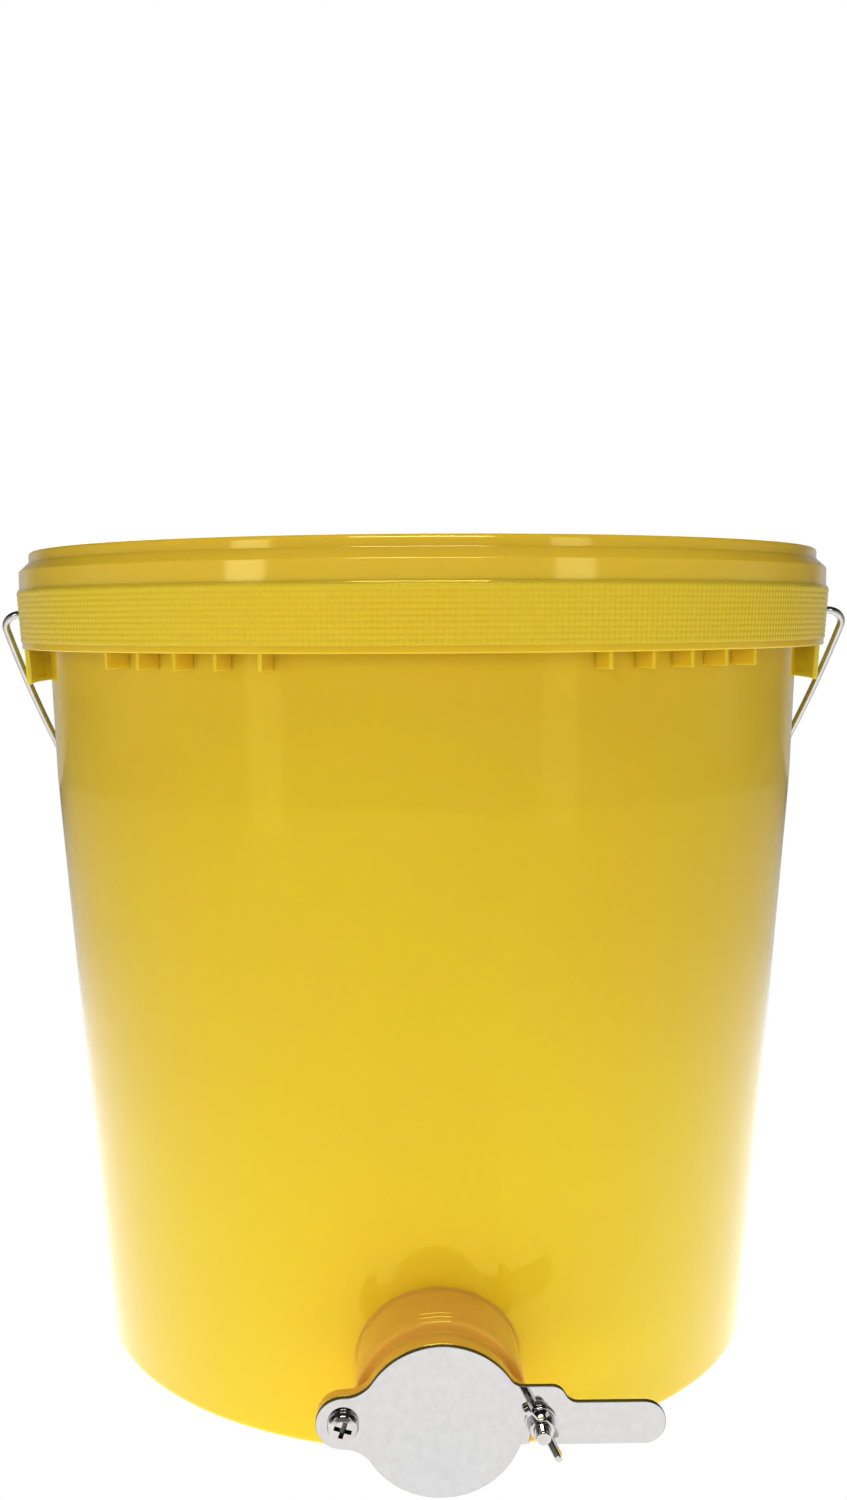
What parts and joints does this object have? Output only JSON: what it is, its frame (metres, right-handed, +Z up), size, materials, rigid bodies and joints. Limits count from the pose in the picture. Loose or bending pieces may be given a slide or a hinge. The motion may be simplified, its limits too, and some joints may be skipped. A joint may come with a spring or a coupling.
{
  "type": "honey bucket with gate",
  "caption": "Tapered lidded plastic pail with a wire bail and a swinging steel cut-off gate low on its front wall, for settling and bottling honey",
  "frame": {"origin": "middle of the base's underside, on the floor", "axes": "+Z up through the lid, -Y out through the gate, +X to the right when the gate is faced"},
  "size_m": [0.4122, 0.3987, 0.3654],
  "materials": {
    "yellow_plastic": "moulded, slightly glossy",
    "lid_plastic": "moulded, glossy",
    "gate_plastic": "moulded, satin",
    "seal_rubber": "gum rubber, soft and matt",
    "bright_wire": "bright drawn and plated",
    "blade_steel": "rolled and lightly polished",
    "polished_steel": "bright stainless"
  },
  "bodies": {
    "bucket": {"bucket": "yellow_plastic", "gate_body": "gate_plastic", "outer_seal": "seal_rubber", "inner_seal": "seal_rubber", "lock_nut": "gate_plastic", "pivot_screw": "polished_steel", "pivot_nut": "polished_steel", "locking_bolt": "polished_steel"},
    "lid": {"lid": "lid_plastic"},
    "bail": {"bail_wire": "bright_wire"},
    "grip": {"bail_grip": "yellow_plastic"},
    "blade": {"gate_blade": "blade_steel"},
    "clamp": {"clamp_washer": "polished_steel"},
    "wing_nut": {"wing_nut": "polished_steel"}
  },
  "joints": [
    {"name": "lid_lift", "type": "slide", "parent": "bucket", "child": "lid", "axis": [0, 0, 1], "range_m": [0, 0.15]},
    {"name": "bail_swing", "type": "hinge", "parent": "bucket", "child": "bail", "pos_m": [0, 0, 0.3378], "axis": [1, 0, 0], "range_deg": [0, 288.5]},
    {"name": "grip_turn", "type": "hinge", "parent": "bail", "child": "grip", "pos_m": [0, 0.17314, 0.09688], "axis": [1, 0, 0], "continuous": true},
    {"name": "blade_swing", "type": "hinge", "parent": "bucket", "child": "blade", "pos_m": [-0.0369, -0.19615, 0.03579], "axis": [0, -0.9973, -0.0732], "range_deg": [0, 110]},
    {"name": "clamp_travel", "type": "slide", "parent": "bucket", "child": "clamp", "axis": [0, -0.9973, -0.0732], "range_m": [0, 0.004]},
    {"name": "wing_nut_turn", "type": "hinge", "parent": "clamp", "child": "wing_nut", "pos_m": [0.0369, -0.19615, 0.03579], "axis": [0, -0.9973, -0.0732], "range_deg": [0, 1440]}
  ],
  "couplings": [
    {"joint": "clamp_travel", "follows": "wing_nut_turn", "m_per_rad": 0.00015915}
  ]
}
